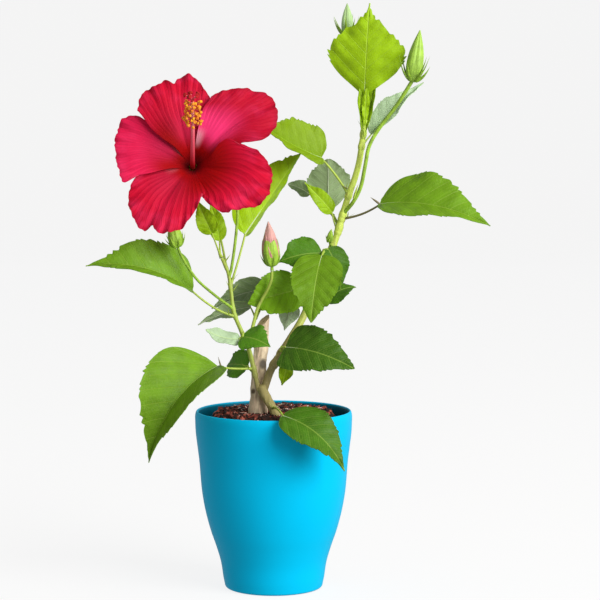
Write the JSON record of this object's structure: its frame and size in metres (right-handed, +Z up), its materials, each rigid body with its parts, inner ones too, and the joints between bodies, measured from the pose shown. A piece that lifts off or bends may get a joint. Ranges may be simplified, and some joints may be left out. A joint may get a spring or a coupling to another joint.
{
  "type": "potted hibiscus shrub",
  "caption": "Young hibiscus shrub with a large red bloom, buds and toothed leaves, growing in a round blue pot filled with soil.",
  "frame": {"origin": "centre of the flat underside of the pot", "axes": "+Z up along the pot's axis, -Y towards the side that the bloom faces, +X to the right of that front view"},
  "size_m": [0.3263, 0.1969, 0.486],
  "materials": {
    "pot_plastic": "smooth satin-gloss moulded plastic, sky blue",
    "potting_soil": "rough, loose bark chips and peat, with a few pale flecks",
    "old_bark": "matt, pale brown bark with dark leaf scars and a knot",
    "young_bark": "matt, greyish olive young bark",
    "green_stem": "satin green skin, brown at its foot",
    "leaf_mid": "satin leaf with paler veins",
    "leaf_dark": "satin dark leaf with paler veins",
    "leaf_bright": "satin young leaf, yellow green",
    "leaf_grey": "matt grey-green underside of a leaf",
    "bud_green": "satin, ribbed green bud",
    "bud_pink": "satin, pale pink rolled petals in a green calyx",
    "petal": "velvety crimson petal with radial veins and a maroon throat",
    "column": "satin pink column with yellow anthers"
  },
  "bodies": {
    "root": {"bloom_column": "column", "bloom_stalk": "bud_green", "bud_left": "bud_green", "bud_pink": "bud_pink", "bud_small": "bud_green", "bud_top_left": "bud_green", "bud_top_right": "bud_green", "foliage_back": "leaf_grey", "foliage_centre": "leaf_dark", "foliage_centre_low": "leaf_mid", "foliage_left_mid": "leaf_dark", "foliage_left_tip": "leaf_bright", "foliage_low_right": "leaf_dark", "foliage_upper_back": "leaf_grey", "leaf_back_centre": "leaf_mid", "leaf_back_left": "leaf_mid", "leaf_back_low": "leaf_dark", "leaf_back_mid": "leaf_mid", "leaf_back_top": "leaf_bright", "leaf_behind_left": "leaf_dark", "leaf_centre_right": "leaf_dark", "leaf_left_high": "leaf_mid", "leaf_left_low": "leaf_mid", "leaf_long": "leaf_bright", "leaf_narrow": "leaf_bright", "leaf_pot": "leaf_dark", "leaf_right": "leaf_mid", "leaf_top": "leaf_bright", "leaf_top_back": "leaf_grey", "leaf_up_left": "leaf_bright", "petal_left": "petal", "petal_lower_left": "petal", "petal_lower_right": "petal", "petal_top": "petal", "petal_upper_right": "petal", "pot": "pot_plastic", "shoot_centre": "green_stem", "shoot_left": "green_stem", "shoot_right": "green_stem", "soil": "potting_soil", "trunk": "old_bark", "young_stem": "young_bark"}
  },
  "joints": []
}
